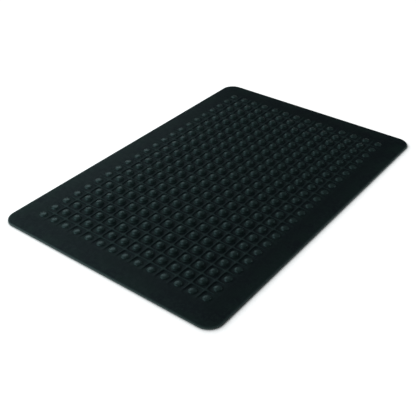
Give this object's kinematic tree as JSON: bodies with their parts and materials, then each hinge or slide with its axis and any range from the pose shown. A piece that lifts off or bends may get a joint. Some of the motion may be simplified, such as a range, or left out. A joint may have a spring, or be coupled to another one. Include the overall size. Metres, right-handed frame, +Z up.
{
  "type": "anti-fatigue mat",
  "caption": "Rectangular rubber anti-fatigue floor mat with a ribbed field of cushioned domes and a sloping smooth border with rounded corners.",
  "frame": {"origin": "middle of the underside, on the floor", "axes": "+X along the mat's long side, +Y across it, +Z up from the floor to the domes"},
  "size_m": [0.9144, 0.6096, 0.014],
  "materials": {
    "skin_rubber": "black solid rubber, fine moulded grain, satin domes",
    "core_sponge": "dark grey closed-cell sponge rubber",
    "base_rubber": "black solid rubber, matt moulded grain"
  },
  "bodies": {
    "root": {"wear_skin": "skin_rubber", "cushion_core": "core_sponge", "base_skin": "base_rubber"}
  },
  "joints": []
}
